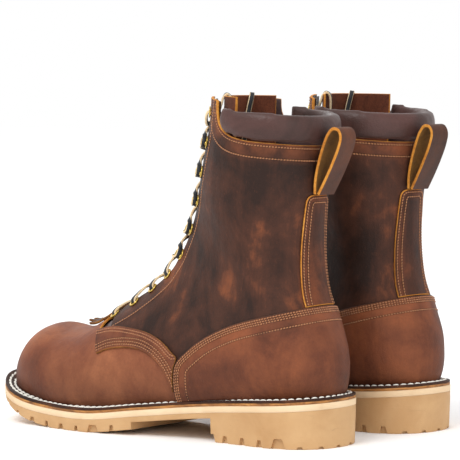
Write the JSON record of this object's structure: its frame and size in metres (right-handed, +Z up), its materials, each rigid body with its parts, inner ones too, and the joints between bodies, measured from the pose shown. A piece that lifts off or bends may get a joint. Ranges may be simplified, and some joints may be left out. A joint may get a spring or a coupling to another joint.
{
  "type": "fire boots",
  "caption": "Pair of brown oiled-leather laced work boots with lugged tan rubber soles, padded collars, brass hooks and rear pull loops.",
  "frame": {"origin": "on the ground under the middle of the pair's bounding box", "axes": "+Z up, toes towards -Y, the wearer's left boot at +X"},
  "size_m": [0.2384, 0.3166, 0.2491],
  "materials": {
    "gum_rubber": "matt",
    "light_rubber": "matt",
    "sole_leather": "matt",
    "oiled_leather": "satin",
    "collar_leather": "satin",
    "suede": "matt",
    "cork": "matt",
    "steel": "satin",
    "brass": "polished",
    "board": "matt",
    "lace_cord": "matt"
  },
  "bodies": {
    "left_boot": {"left_outsole": "gum_rubber", "left_rubber_midsole": "light_rubber", "left_leather_midsole": "sole_leather", "left_welt": "oiled_leather", "left_cork_filler": "cork", "left_shank": "steel", "left_insole": "sole_leather", "left_toe_puff": "board", "left_heel_stiffener": "board", "left_vamp": "oiled_leather", "left_quarter_lateral": "oiled_leather", "left_quarter_medial": "oiled_leather", "left_wing_lateral": "oiled_leather", "left_wing_medial": "oiled_leather", "left_heel_counter": "oiled_leather", "left_backstay": "oiled_leather", "left_collar": "collar_leather", "left_facing_lateral": "suede", "left_facing_medial": "suede", "left_lace_hardware_lateral": "brass", "left_lace_hardware_medial": "brass", "left_tongue": "suede", "left_lace": "lace_cord"},
    "right_boot": {"right_outsole": "gum_rubber", "right_rubber_midsole": "light_rubber", "right_leather_midsole": "sole_leather", "right_welt": "oiled_leather", "right_cork_filler": "cork", "right_shank": "steel", "right_insole": "sole_leather", "right_toe_puff": "board", "right_heel_stiffener": "board", "right_vamp": "oiled_leather", "right_quarter_lateral": "oiled_leather", "right_quarter_medial": "oiled_leather", "right_wing_lateral": "oiled_leather", "right_wing_medial": "oiled_leather", "right_heel_counter": "oiled_leather", "right_backstay": "oiled_leather", "right_collar": "collar_leather", "right_facing_lateral": "suede", "right_facing_medial": "suede", "right_lace_hardware_lateral": "brass", "right_lace_hardware_medial": "brass", "right_tongue": "suede", "right_lace": "lace_cord"},
    "left_loop": {"left_pull_loop": "oiled_leather"},
    "right_loop": {"right_pull_loop": "oiled_leather"},
    "left_flap": {"left_kiltie": "oiled_leather"},
    "right_flap": {"right_kiltie": "oiled_leather"}
  },
  "joints": [
    {"name": "right_boot_slide", "type": "slide", "parent": "left_boot", "child": "right_boot", "axis": [-1, 0, 0], "range_m": [0, 0.25]},
    {"name": "left_loop_hinge", "type": "hinge", "parent": "left_boot", "child": "left_loop", "pos_m": [0.0652, 0.12924, 0.18], "axis": [-1, 0, 0], "range_deg": [0, 60], "stiffness_Nm_per_rad": 0.02},
    {"name": "right_loop_hinge", "type": "hinge", "parent": "right_boot", "child": "right_loop", "pos_m": [-0.04456, 0.13559, 0.18], "axis": [-0.9938, 0.1115, 0], "range_deg": [0, 60], "stiffness_Nm_per_rad": 0.02},
    {"name": "left_kiltie_hinge", "type": "hinge", "parent": "left_boot", "child": "left_flap", "pos_m": [0.0652, -0.05129, 0.09], "axis": [-1, 0, 0], "range_deg": [0, 30]},
    {"name": "right_kiltie_hinge", "type": "hinge", "parent": "right_boot", "child": "right_flap", "pos_m": [-0.06468, -0.04381, 0.09], "axis": [-0.9938, 0.1115, 0], "range_deg": [0, 30]}
  ]
}
